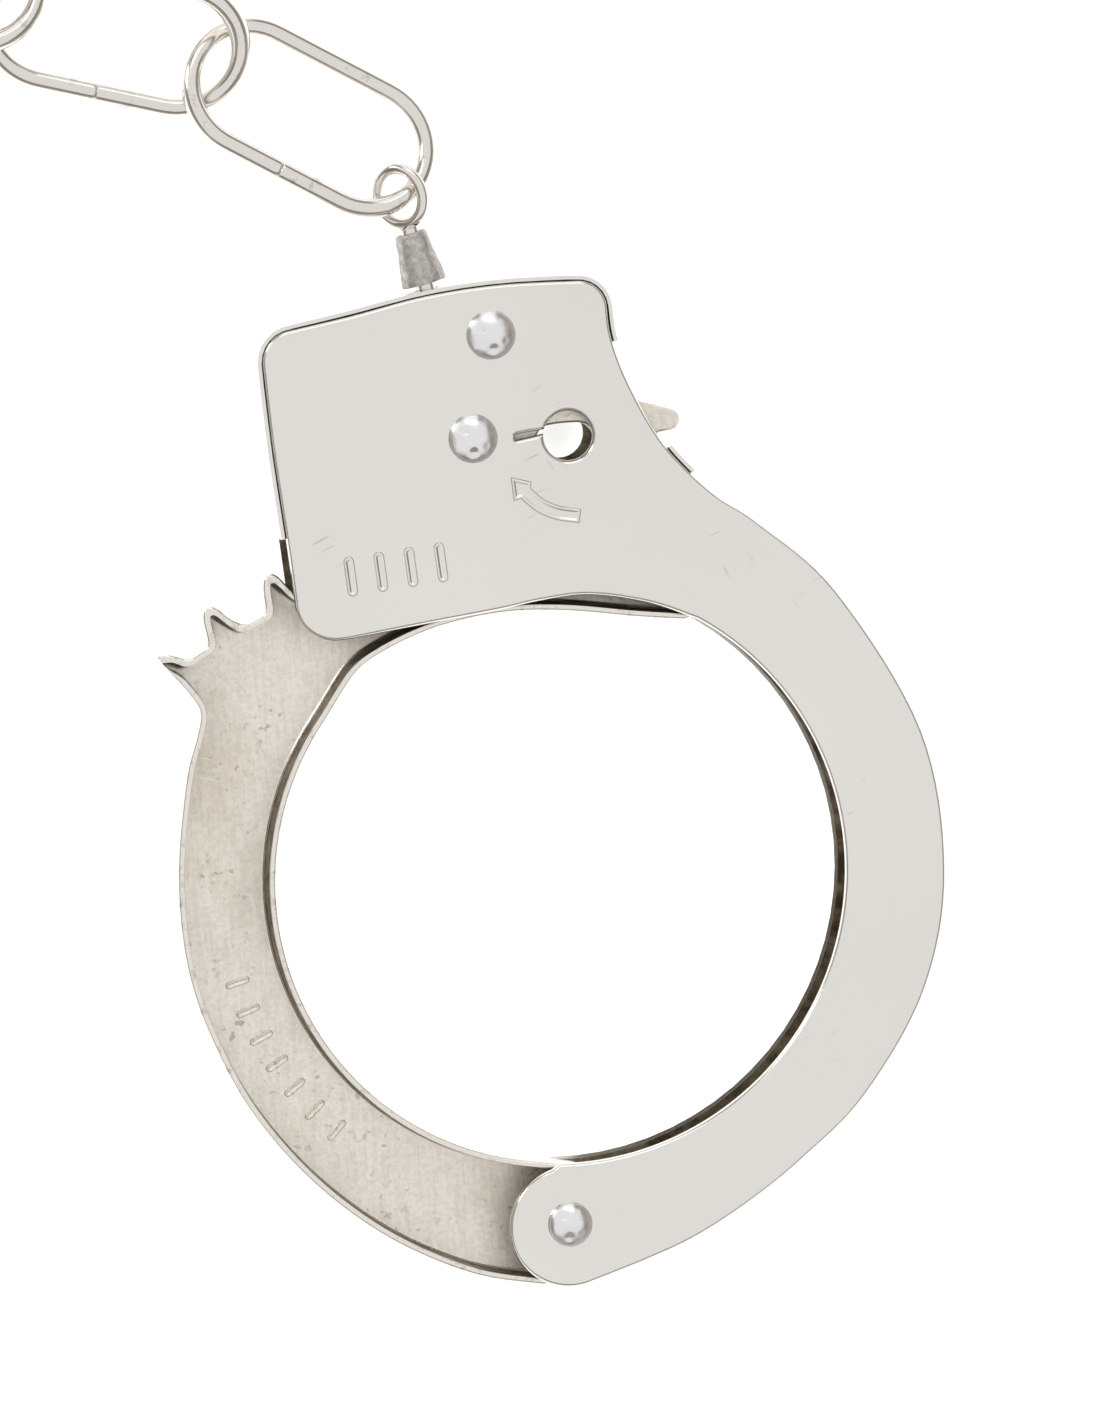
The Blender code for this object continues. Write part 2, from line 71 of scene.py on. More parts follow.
SWIVEL_FOOT = (-12.3, 55.25)
SWIVEL_LEAN = 16.0
SWIVEL_ROLL = 35.0
LINK_1_CENTRE = (-23.23, 71.26, MID_Z - 0.9)

# Studio: a lit floor, a warm surround that is brighter near the horizon than above, and soft boxes as
# (name, place, size, power)
FLOOR_GLOW = 0.62
SKY_TINT = (1.0, 0.90, 0.78)
SKY_LOW, SKY_HIGH = 0.42, 0.09
CAMERA_DISTANCE, CAMERA_HEIGHT = 0.95, 0.1337  # metres: to the target, and covered by the frame's height
CAMERA_TILT = (9.2, 4.3)  # degrees from straight above, towards -X and +Y
LAMPS = (("overhead", (0.0, 0.0, 1.3), 3.6, 32.0), ("left_side", (-1.1, 0.7, 0.55), 0.4, 2.5),
         ("far_side", (0.0, 1.7, 0.9), 1.4, 5.0))


# Nodes and materials

class Nodes:
    """A material's node tree, with short calls for the nodes used here."""

    def __init__(self, name):
        self.material = bpy.data.materials.new(name)
        self.material.use_nodes = True
        self.tree = self.material.node_tree
        self.shader = self.tree.nodes["Principled BSDF"]
        self.coords = self.tree.nodes.new("ShaderNodeTexCoord").outputs["Object"]

    def add(self, kind, inputs=None, **settings):
        node = self.tree.nodes.new(kind)
        for key, value in settings.items():
            setattr(node, key, value)
        for key, value in (inputs or {}).items():
            if isinstance(value, bpy.types.NodeSocket):
                self.tree.links.new(value, node.inputs[key])
            else:
                node.inputs[key].default_value = value
        return node

    def noise(self, scale, detail=3.0, roughness=0.5, stretch=(1, 1, 1), turn=0.0):
        rotation = (0, 0, math.radians(turn))
        mapping = self.add("ShaderNodeMapping", {"Vector": self.coords, "Scale": stretch, "Rotation": rotation},
                           vector_type="TEXTURE")
        made = self.add("ShaderNodeTexNoise", {"Vector": mapping.outputs[0], "Scale": scale, "Detail": detail,
                                               "Roughness": roughness})
        return made.outputs["Fac"]

    def span(self, value, low, high, start=0.0, end=1.0):
        made = self.add("ShaderNodeMapRange", {"Value": value, "From Min": low, "From Max": high,
                                               "To Min": start, "To Max": end})
        return made.outputs["Result"]

    def math(self, operation, a, b):
        return self.add("ShaderNodeMath", {0: a, 1: b}, operation=operation).outputs[0]

    def mix(self, factor, a, b):
        made = self.tree.nodes.new("ShaderNodeMix")
        made.data_type = "RGBA"
        for socket, value in ((made.inputs[0], factor), (made.inputs[6], a), (made.inputs[7], b)):
            if isinstance(value, bpy.types.NodeSocket):
                self.tree.links.new(value, socket)
            else:
                socket.default_value = value if socket == made.inputs[0] else (*value, 1)
        return made.outputs[2]

    def scratches(self, turn, amount):
        """Thin straight marks in one direction, 1 where there is one."""
        lines = self.noise(2600, 1, 0.5, (1, 9, 1), turn)
        patches = self.noise(110, 2, 0.5)
        lines = self.span(lines, 0.71 - amount, 0.75 - amount)
        return self.math("MULTIPLY", lines, self.span(patches, 0.58, 0.68))

    def set(self, **values):
        for name, value in values.items():
            socket = self.shader.inputs[name.replace("_", " ")]
            if isinstance(value, bpy.types.NodeSocket):
                self.tree.links.new(value, socket)
            else:
                socket.default_value = (*value, 1) if isinstance(value, tuple) else value

    def bump(self, height, distance, strength=1.0):
        made = self.add("ShaderNodeBump", {"Height": height, "Distance": distance * MM, "Strength": strength})
        self.tree.links.new(made.outputs[0], self.shader.inputs["Normal"])


def nickel(name="nickel_plate_look", inside_z=0.0):
    """Bright plating on flat sheet, with waves and a few scratches.

    If inside_z is given, upward faces below it get painted brown shade, apart from a bright strip along the
    wrist edge.
    """
    n = Nodes(name)
    warm = n.span(n.noise(28, 2, 0.5), 0.45, 0.75, 0.0, 0.55)
    marks = n.math("MAXIMUM", n.scratches(35, -0.015), n.scratches(-62, -0.005))
    colour = n.mix(warm, (0.84, 0.83, 0.80), (0.79, 0.77, 0.73))
    colour = n.mix(marks, colour, (0.62, 0.6, 0.57))
    rough = n.math("ADD", n.span(n.noise(90, 4, 0.6), 0.3, 0.7, 0.16, 0.24), n.math("MULTIPLY", marks, 0.2))
    if inside_z:
        facing = n.add("ShaderNodeNewGeometry").outputs["Normal"]
        normal = n.add("ShaderNodeSeparateXYZ", {0: facing}).outputs["Z"]
        height = n.add("ShaderNodeSeparateXYZ", {0: n.coords}).outputs["Z"]
        inside = n.math("MULTIPLY", n.math("GREATER_THAN", normal, 0.5),
                        n.math("LESS_THAN", height, inside_z * MM))
        centres = [place(side).to_translation() for side in "ab"]
        away = n.math("MINIMUM", *(n.add("ShaderNodeVectorMath", {0: n.coords, 1: centre}, operation="DISTANCE")
                                   .outputs["Value"] for centre in centres))
        inside = n.math("MULTIPLY", inside, n.span(away, (WRIST_RADIUS + 0.2) * MM, (WRIST_RADIUS + 0.4) * MM))
        # Painted shade: upward faces inside the shell, in shadow between the plates, are coloured a dark patchy
        # brown.
        colour = n.mix(inside, colour, painted_shade_brown(n))
        rough = n.math("ADD", rough, n.math("MULTIPLY", inside, 0.2))
    n.set(Base_Color=colour, Metallic=1.0, Roughness=rough)
    n.bump(n.math("ADD", n.noise(35, 2, 0.4), n.math("MULTIPLY", marks, -0.05)), 0.06, 0.35)
    return n.material


def worn_nickel():
    """Thin plating on drawn steel: matte, grainy and speckled, with a faint brown stain."""
    n = Nodes("worn_nickel_look")
    stain = n.span(n.noise(55, 5, 0.65), 0.5, 0.72)
    grain = n.math("ADD", n.math("MULTIPLY", n.noise(2600, 3, 0.6), 0.6),
                   n.math("MULTIPLY", n.noise(2400, 2, 0.6, (1, 12, 1), 4), 0.4))
    marks = n.math("MAXIMUM", n.scratches(78, 0.03), n.scratches(20, 0.02))
    colour = n.mix(stain, (0.93, 0.885, 0.81), (0.76, 0.705, 0.60))
    colour = n.mix(n.span(grain, 0.4, 0.62, 0.0, 0.3), colour, (0.44, 0.41, 0.35))
    specks = n.math("MULTIPLY", n.span(n.noise(1500, 2, 0.5), 0.62, 0.68),
                    n.span(n.noise(130, 3, 0.6), 0.46, 0.6))
    colour = n.mix(n.math("MULTIPLY", specks, 0.6), colour, (0.36, 0.31, 0.24))
    n.set(Base_Color=n.mix(marks, colour, (0.82, 0.81, 0.78)), Metallic=0.96,
          Roughness=n.span(n.noise(120, 4, 0.6), 0.3, 0.7, 0.34, 0.5))
    n.bump(n.math("ADD", grain, n.math("MULTIPLY", marks, -0.6)), 0.02, 0.6)
    return n.material


def rim_nickel():
    """The arm's rolled rims and outer walls, rubbed brighter than its web."""
    n = Nodes("rim_nickel_look")
    spots = n.span(n.noise(900, 4, 0.7), 0.55, 0.7)
    n.set(Base_Color=n.mix(spots, (0.86, 0.835, 0.78), (0.62, 0.57, 0.48)), Metallic=1.0,
          Roughness=n.span(n.noise(500, 4, 0.6), 0.3, 0.7, 0.16, 0.3))
    n.bump(n.noise(420, 3, 0.6), 0.05, 0.6)
    return n.material


def painted_shade_brown(n):
    """Patchy brown painted shade for inside faces that lie in shadow."""
    return n.mix(n.span(n.noise(420, 5, 0.7), 0.4, 0.65), (0.10, 0.075, 0.045), (0.34, 0.29, 0.21))


def painted_shade_nickel():
    """The arm's inside walls, coloured with brown painted shade for the shadow inside the channel."""
    n = Nodes("inside_painted_shade_look")
    n.set(Base_Color=painted_shade_brown(n), Metallic=0.8,
          Roughness=n.span(n.noise(600, 4, 0.6), 0.3, 0.7, 0.3, 0.55))
    n.bump(n.noise(900, 4, 0.6), 0.03, 0.5)
    return n.material


def aluminium():
    n = Nodes("aluminium_look")
    n.set(Base_Color=n.mix(n.noise(700, 4, 0.6), (0.80, 0.80, 0.82), (0.92, 0.92, 0.93)), Metallic=1.0,
          Roughness=n.span(n.noise(500, 3, 0.6), 0.3, 0.7, 0.16, 0.34))
    n.bump(n.noise(900, 4, 0.6), 0.03, 0.5)
    return n.material


def cast_zinc():
    """Sand-rough casting, dark in its pits."""
    n = Nodes("cast_zinc_look")
    pits = n.noise(1500, 5, 0.7)
    n.set(Base_Color=n.mix(n.span(pits, 0.35, 0.62), (0.36, 0.34, 0.32), (0.60, 0.585, 0.565)), Metallic=0.85,
          Roughness=n.span(pits, 0.3, 0.7, 0.5, 0.36))
    n.bump(n.noise(900, 5, 0.6), 0.05, 0.6)
    return n.material


def dull_steel():
    n = Nodes("spring_steel_look")
    n.set(Base_Color=n.mix(n.noise(300, 4, 0.6), (0.30, 0.29, 0.27), (0.42, 0.41, 0.38)), Metallic=1.0,
          Roughness=n.span(n.noise(400, 3, 0.5), 0.3, 0.7, 0.3, 0.45))
    return n.material


def bright_wire():
    """Plated wire with faint dark spots."""
    n = Nodes("bright_wire_look")
    spots = n.span(n.noise(420, 5, 0.7), 0.6, 0.72)
    n.set(Base_Color=n.mix(spots, (0.80, 0.775, 0.74), (0.58, 0.54, 0.49)), Metallic=1.0,
          Roughness=n.span(n.noise(260, 4, 0.6), 0.3, 0.7, 0.10, 0.20))
    n.bump(n.noise(700, 3, 0.5), 0.015, 0.5)
    return n.material


# Outlines

def arc(centre, radius, start, end, steps):
    angles = [math.radians(start + (end - start) * i / steps) for i in range(steps + 1)]
    return [(centre[0] + radius * math.cos(a), centre[1] + radius * math.sin(a)) for a in angles]


def smooth(points, steps=4):
    """A Catmull-Rom curve through the points."""
    ends = [points[0]] + list(points) + [points[-1]]
    curve = []
    for i in range(len(points) - 1):
        a, b, c, d = (Vector(p) for p in ends[i:i + 4])
        for k in range(steps):
            t = k / steps
            curve.append(tuple(0.5 * (2 * b + (c - a) * t + (2 * a - 5 * b + 4 * c - d) * t * t
                                      + (3 * b - a - 3 * c + d) * t ** 3)))
    return curve + [tuple(points[-1])]


def offset(points, distance, closed=True):
    """The line moved to its right, which is outwards on an anticlockwise outline."""
    moved = []
    count = len(points)
    for i, point in enumerate(points):
        before = Vector(points[i - 1] if closed or i else points[i])
        after = Vector(points[(i + 1) % count] if closed or i < count - 1 else points[i])
        here = Vector(point)
        sides = [s.normalized() for s in (here - before, after - here) if s.length > 1e-9]
        normal = sum((Vector((s.y, -s.x)) for s in sides), Vector((0, 0))).normalized()
        stretch = max(0.5, normal.dot(Vector((sides[0].y, -sides[0].x))))
        moved.append(tuple(here + normal * distance / stretch))
    return moved


def distinct(points, apart):
    kept = []
    for point in points:
        if not kept or (Vector(point) - Vector(kept[-1])).length > apart:
            kept.append(point)
    if (Vector(kept[0]) - Vector(kept[-1])).length < apart:
        kept.pop()
    return kept


def cheek_outline():
    back = [(3.29, -38.63), (8.4, -36.7), (13.1, -34.6), (18.2, -31.4), (23.3, -27.4), (29.4, -21.35),
            (35.1, -11.4), (37.05, 0), (34.7, 13.3), (26.5, 26.5), (19.05, 33.0)]
    hollow = [(14.9, 35.7), (11.3, 39.0), (8.8, 42.2), (6.3, 46.9), (4.95, 50.6), (4.55, 53.2)]
    top = [(1.75, 56.0), (-5.7, 55.65), (-12.8, 54.6), (-19.8, 52.8), (-25.85, 51.4)]
    left = [(-28.15, 47.9), (-27.35, 41.0), (-26.5, 35.3), (-25.8, 30.8), (-25.15, 26.1)]
    mouth = [(-20.5, 22.33), (-13.25, 23.7), (-5.7, 25.05), (-2.0, 25.85), (2.7, 26.4), (8.4, 25.6),
             (13.1, 24.0)]
    points = arc(END_CENTRE, END_RADIUS, 108, 294, 30)
    points += smooth(back + hollow, 8)
    points += arc((1.75, 53.2), 2.8, 0, 90, 12)
    points += smooth(top, 8)
    points += arc((-25.1, 48.4), 3.1, 104, 189, 12)
    points += smooth(left, 6)
    points += arc((-21.3, 26.15), 3.85, 180, 281, 14)
    points += smooth(mouth, 6)
    points += arc((0, 0), WRIST_RADIUS, 60, -90, 90)
    return distinct(points, 0.2)


def keyhole_outline():
    """The round hole with the slot for the key's bit on its left, anticlockwise."""
    x, y = KEYHOLE
    points = arc(KEYHOLE, KEYHOLE_RADIUS, -185.0, 165.3, 44)
    points += [(x - 3.6, y + 0.38), (x - 4.93, y + 0.15), (x - 5.0, y + 0.08), (x - 5.0, y - 0.36),
               (x - 4.9, y - 0.41), (x - 3.5, y - 0.1)]
    return points


# Meshes

def finish_mesh(name, bm, look, body, side=None, angle=40, nodes=()):
    """Makes the piece in the row's frame. It rides on its body, unless none is given."""
    bmesh.ops.recalc_face_normals(bm, faces=bm.faces)
    bmesh.ops.transform(bm, matrix=place(side), verts=bm.verts)
    mesh = bpy.data.meshes.new(name)
    bm.to_mesh(mesh)
    bm.free()
    mesh.shade_smooth()
    mesh.set_sharp_from_angle(angle=math.radians(angle))
    for each in look if isinstance(look, tuple) else (look,):
        mesh.materials.append(each)
    obj = bpy.data.objects.new(name, mesh)
    bpy.context.scene.collection.objects.link(obj)
    if body:
        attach(obj, body)
    if nodes:
        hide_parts(*nodes)
    return obj


def place(side):
    """From a cuff's frame in millimetres to the row's frame in metres."""
    scale = Matrix.Scale(MM, 4)
    if side is None:
        return scale
    at_a = scale @ Matrix.Translation((*CUFF_CENTRE, 0))
    return at_a if side == "a" else Matrix.Rotation(math.pi, 4, "Z") @ at_a


def add_ring(bm, outline, z):
    return [bm.verts.new((p[0], p[1], z)) for p in outline]


def bridge(bm, first, second):
    count = len(first)
    for i in range(count):
        k = (i + 1) % count
        bm.faces.new((first[i], first[k], second[k], second[i]))


def loop_edges(bm, ring):
    edges = []
    for i, vert in enumerate(ring):
        other = ring[(i + 1) % len(ring)]
        edges.append(bm.edges.get((vert, other)) or bm.edges.new((vert, other)))
    return edges


def holed_plate(outline, holes, levels):
    """A plate with holes through it. Each level is (z, how far every edge moves into the metal)."""
    bm = bmesh.new()
    loops = [(outline, -1)] + [(hole, 1) for hole in holes]
    stacks = [[add_ring(bm, offset(points, sign * inset), z) for z, inset in levels] for points, sign in loops]
    for stack in stacks:
        for lower, upper in zip(stack, stack[1:]):
            bridge(bm, lower, upper)
    for end in (0, -1):
        edges = [e for stack in stacks for e in loop_edges(bm, stack[end])]
        bmesh.ops.triangle_fill(bm, use_beauty=True, use_dissolve=False, edges=edges)
    return bm


def rounded_levels(low, high, radius, steps, low_radius):
    """Levels of a plate whose top and bottom edges are rolled."""
    levels = []
    for end, r, sign in ((low, low_radius, 1), (high, radius, -1)):
        turns = [math.pi / 2 * k / steps for k in range(steps + 1)]
        edge = [(end + sign * r * (1 - math.cos(t)), r * (1 - math.sin(t))) for t in turns]
        levels += edge if sign > 0 else edge[::-1]
    return levels


def swept_wire(path, radius, sides, across, wobble=None):
    """A round wire round a closed path of Vectors. wobble gives the radius's factor at each point."""
    bm = bmesh.new()
    rings = []
    for i, point in enumerate(path):
        along = (path[(i + 1) % len(path)] - path[i - 1]).normalized()
        outwards = along.cross(across).normalized()
        size = radius * (wobble[i] if wobble else 1.0)
        rings.append([bm.verts.new(point + size * (outwards * math.cos(a) + across * math.sin(a)))
                      for a in (2 * math.pi * k / sides for k in range(sides))])
    for i in range(len(rings)):
        bridge(bm, rings[i], rings[(i + 1) % len(rings)])
    return bm


def turned(profile, steps):
    """A solid of revolution about Z from (radius, z) points that start and end on the axis."""
    bm = bmesh.new()
    last = 360 * (steps - 1) / steps
    rings = [add_ring(bm, arc((0, 0), r, 0, last, steps - 1), z) for r, z in profile if r > 0]
    for lower, upper in zip(rings, rings[1:]):
        bridge(bm, lower, upper)
    if profile[0][0] > 0:
        bridge(bm, rings[-1], rings[0])
        return bm
    for ring, z in ((rings[0], profile[0][1]), (rings[-1], profile[-1][1])):
        pole = bm.verts.new((0, 0, z))
        for i in range(steps):
            bm.faces.new((ring[i], ring[(i + 1) % steps], pole))
    return bm


# The pieces

def pressed_band(outline, base, height, width):
    """A low mark with a raised rim and a lower middle, set slightly into the sheet."""
    bm = bmesh.new()
    levels = [(base - 0.12, 0.0), (base + 0.005, 0.0), (base + height * 0.8, width * 0.22),
              (base + height, width * 0.4), (base + height * 0.8, width * 0.6), (base + height * 0.15, width)]
    rings = [add_ring(bm, offset(outline, -inset), z) for z, inset in levels]
    for lower, upper in zip(rings, rings[1:]):
        bridge(bm, lower, upper)
    for ring in (rings[0][::-1], rings[-1]):
        cap = bm.faces.new(ring)
        cap.normal_update()
        bmesh.ops.triangulate(bm, faces=[cap], ngon_method="EAR_CLIP")
    return bm


def arrow_outline():
    """The curved direction arrow under the keyhole, its head at the left end."""
    spine = smooth([(-3.3, 36.0), (-1.9, 34.85), (-0.2, 34.15), (1.9, 33.85)], 5)
    outer = offset(spine, 0.68, False)
    inner = offset(spine, -0.68, False)[::-1]
    head = [inner[-1], (-2.75, 37.1), (-4.75, 37.55), (-4.45, 35.3), outer[0]]
    return distinct(outer + inner[:-1] + head[:-1], 0.12)


def bar_outline(x, y, length, width, lean):
    """A plain pressed bar with rounded ends."""
    c, s = math.cos(math.radians(lean)), math.sin(math.radians(lean))
    half = length / 2 - width / 2
    raw = arc((half, 0), width / 2, -90, 90, 6) + arc((-half, 0), width / 2, 90, 270, 6)
    return [(x + px * c - py * s, y + px * s + py * c) for px, py in raw]


def front_plate(side, look):
    cuff = f"cuff_{side}"
    levels = rounded_levels(FRONT_INSIDE, FRONT_FACE, EDGE_ROLL, 6, 0.2)
    bm = holed_plate(cheek_outline(), [keyhole_outline()], levels)
    finish_mesh(f"front_sheet_{side}", bm, look, cuff, side, 32, [f"front_plate_{side}"])
    marks = [("arrow", arrow_outline())]
    marks += [(f"bar_{i}", bar_outline(-19.9 + 2.85 * i, 28.35 + 0.42 * i, 3.8, 1.0, 98)) for i in range(4)]
    for label, outline in marks:
        bm = pressed_band(outline, FRONT_FACE, 0.13, 0.38)
        finish_mesh(f"pressed_{label}_{side}", bm, look, cuff, side, 24)


def hammered_rivet(name, centre, head, side, look, seed):
    """Rear head, shank and a front dome with the dents that the peening left."""
    top, rim, dome = FRONT_FACE + 0.1, 0.2, 0.85
    rear = [(0, 0), (head - 0.75, 0), (head - 0.5, 0.05), (head - 0.2, 0.28), (head, 0.7), (1.45, 0.7),
            (1.45, top)]
    front = [(head * 0.97, top), (head, top + rim * 0.5), (head * 0.985, top + rim * 0.85)]
    steps = [1 - 0.045 - 0.91 * k / 15 for k in range(16)]
    front += [(head * r, top + rim + dome * (1 - r * r)) for r in steps]
    bm = turned(rear + front + [(0, top + rim + dome)], 48)
    dents = [(math.radians(angle + 9 * seed), head * far, depth) for angle, far, depth in
             ((148, 0.5, 0.2), (205, 0.42, 0.12), (268, 0.56, 0.2), (30, 0.2, 0.07), (330, 0.6, 0.06))]
    for vert in bm.verts:
        if vert.co.z > top + rim * 0.9:
            for angle, far, depth in dents:
                away = math.hypot(vert.co.x - far * math.cos(angle), vert.co.y - far * math.sin(angle))
                vert.co.z -= depth * math.exp(-(away / 0.42) ** 2)
    bmesh.ops.translate(bm, vec=(*centre, 0), verts=bm.verts)
    finish_mesh(f"{name}_head_{side}", bm, look, f"cuff_{side}", side, 50,
                [f"{name}_{side}"])


def pawl_spring(side, look):
    """The torsion spring."""
    ux, uy = SPRING_RIVET
    turns, low, high = 3, 2.6, 5.4
    points = [Vector((3.0, 46.85, low))]
    steps = 28 * turns
    for i in range(steps + 1):
        angle = math.radians(-107.5 + (104.0 - 360.0 * turns + 107.5) * i / steps)
        points.append(Vector((ux + SPRING_COIL * math.cos(angle), uy + SPRING_COIL * math.sin(angle),
                              low + (high - low) * i / steps)))
    points.append(Vector((1.4, 55.35, high)))
    legs = [points[0].lerp(points[1], k / 12) for k in range(12)]
    path = legs + points[1:-1] + [points[-2].lerp(points[-1], k / 6) for k in range(1, 7)]
    bm = bmesh.new()
    up = Vector((0, 0, 1))
    rings = []
    for i, point in enumerate(path):
        along = (path[min(i + 1, len(path) - 1)] - path[max(i - 1, 0)]).normalized()
        outwards = along.cross(up).normalized()
        across = outwards.cross(along)
        rings.append([bm.verts.new(point + SPRING_WIRE * (outwards * math.cos(a) + across * math.sin(a)))
                      for a in (2 * math.pi * k / 10 for k in range(10))])
    for first, second in zip(rings, rings[1:]):
        bridge(bm, first, second)
    for ring in (rings[0][::-1], rings[-1]):
        bm.faces.new(ring)
    obj = finish_mesh(f"spring_wire_{side}", bm, look, None, side, 50,
                      [f"pawl_spring_{side}"])
    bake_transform(obj)


def swivel_matrix():
    lean = math.radians(SWIVEL_LEAN)
    along = Vector((-math.sin(lean), math.cos(lean), 0))
    across = Vector((0, 0, 1))
    turn = Matrix((across.cross(along), across, along)).transposed().to_4x4()
    return Matrix.Translation((*SWIVEL_FOOT, MID_Z)) @ turn


def swivel(side, wire_look, cast_look):
    roll = math.radians(SWIVEL_ROLL if side == "a" else -SWIVEL_ROLL)
    wide = Vector((math.cos(roll), -math.sin(roll), 0))
    normal = Vector((math.sin(roll), math.cos(roll), 0))
    body = f"swivel_{side}"
    count = 72
    path = [wide * 2.35 * math.cos(a) + Vector((0, 0, 8.9 + 2.65 * math.sin(a)))
            for a in (2 * math.pi * i / count for i in range(count))]
    bm = swept_wire(path, 0.56, 16, across=normal)
    bmesh.ops.transform(bm, matrix=swivel_matrix(), verts=bm.verts)
    finish_mesh(f"eye_ring_{side}", bm, wire_look, body, side, 40, [f"swivel_eye_{side}"])
    stem = [(0, -2.35), (1.5, -2.35), (1.62, -2.3), (1.7, -2.15), (1.7, -1.65), (0.95, -1.6), (0.95, 5.45),
            (0.9, 5.75), (0.6, 5.98), (0, 6.05)]
    bm = turned(stem, 32)
    bmesh.ops.transform(bm, matrix=swivel_matrix(), verts=bm.verts)
    finish_mesh(f"eye_stem_{side}", bm, wire_look, body, side, 40)
    outer = [(2.1, 0.42), (2.18, 0.5), (2.2, 0.75), (2.12, 1.3), (2.0, 2.0), (1.87, 2.8), (1.75, 3.6),
             (1.66, 4.4), (1.6, 5.0), (1.52, 5.25), (1.4, 5.35)]
    bm = turned([(1.08, 0.42)] + outer + [(1.08, 5.35)], 40)
    for vert in bm.verts:
        if math.hypot(vert.co.x, vert.co.y) > 1.3:
            lump = noise.noise(vert.co * 1.4 + Vector((0, 0, ord(side)))) * 0.07
            vert.co.x *= 1 + lump - 0.035
            vert.co.y *= 1 + lump - 0.035
    bmesh.ops.transform(bm, matrix=swivel_matrix(), verts=bm.verts)
    finish_mesh(f"ferrule_cast_{side}", bm, cast_look, body, side, 50, [f"swivel_ferrule_{side}"])


def chain_link(index, centre, turn, roll, body, look):
    """A bent wire loop with its butt joint in one long side."""
    bend, wire = 6.0, 0.95
    half = 25.8 / 2 - wire - bend
    joint = 0.43
    side = [(x, bend) for x in (half * 0.6, joint + 0.9, joint + 0.35, joint + 0.16, joint + 0.06, joint,
                                joint - 0.06, joint - 0.16, joint - 0.35, joint - 0.9, -half * 0.55)]
    outline = side + arc((-half, 0), bend, 90, 270, 28) + arc((half, 0), bend, -90, 90, 28)
    size = {joint - 0.06: 0.95, joint: 0.74, joint + 0.06: 0.95}
    wobble = [size.get(x, 1.0) if y == bend else 1.0 for x, y in outline]
    path = [Vector((x, y, 0)) for x, y in outline]
    bm = swept_wire(path, wire, 20, across=Vector((0, 0, 1)), wobble=wobble)
    pose = Matrix.Translation(centre) @ Matrix.Rotation(math.radians(turn), 4, "Z")
    pose = pose @ Matrix.Rotation(math.radians(roll), 4, "X")
    bmesh.ops.transform(bm, matrix=pose, verts=bm.verts)
    finish_mesh(f"link_wire_{index}", bm, look, body, None, 50, [f"chain_link_{index}"])


def tooth(angle, inset, tip):
    """One ratchet tooth about the arm's pivot: a slope on the closing side and a steep face on the other."""
    turn = math.degrees(inset / 64.6)
    root = 64.6 - inset
    high = tip - 1.5 * inset
    corners = [(angle - 3.0, root), (angle - 2.1 + turn, root), (angle - 1.2 + 0.6 * turn, root + 1.3),
               (angle - 0.7 + 0.6 * turn, high - 0.3), (angle + 0.1 - 0.2 * turn, high),
               (angle + 0.75 - 0.8 * turn, high - 0.9), (angle + 1.35 - turn, root)]
    return [(ARM_PIVOT[0] + r * math.cos(math.radians(a)), ARM_PIVOT[1] + r * math.sin(math.radians(a)))
            for a, r in corners]


def rounded(points, times=2):
    """A closed outline with its corners cut, each time a quarter of a side from either end."""
    for _ in range(times):
        cut = []
        for a, b in zip(points, points[1:] + points[:1]):
            cut += [(0.75 * a[0] + 0.25 * b[0], 0.75 * a[1] + 0.25 * b[1]),
                    (0.25 * a[0] + 0.75 * b[0], 0.25 * a[1] + 0.75 * b[1])]
        points = cut
    return points


def arm_outline(inset):
    """The arm's outline moved in by a distance: teeth, back, pivot eye, wrist side and tip."""
    points = []
    for i in range(9):
        last = i == 8
        points += tooth(82.0 + 43.9 * i / 8, inset, 66.8 if last else 68.0)[:5 if last else 7]
    angles = [(165, 36.6), (180, 36.1), (195, 36.15), (210, 36.2), (222, 36.5), (234, 36.95), (246, 37.6),
              (258, 38.3), (268, 38.6)]
    back = [(-35.9, 18.4), (-34.05, 15.9), (-34.3, 13.4)]
    back += [(r * math.cos(math.radians(a)), -0.4 + r * math.sin(math.radians(a))) for a, r in angles]
    points += offset(smooth(back, 6), -inset, False)
    points += offset(arc(ARM_PIVOT, 5.5, -88, 88, 24), -inset, False)
    wrist = arc((0.0, -0.4), 26.85, 265, 145, 48)
    wrist += smooth([(-20.6, 17.3), (-18.2, 20.2), (-12.2, 23.2), (-5.6, 24.7), (0.5, 24.85), (7.5, 24.2),
                     (12.2, 23.9)], 5)
    points += offset(wrist, -inset, False)
    points += offset([(13.3, 24.6), (13.5, 26.5), (12.6, 29.6)], -inset, False)
    return rounded(points)


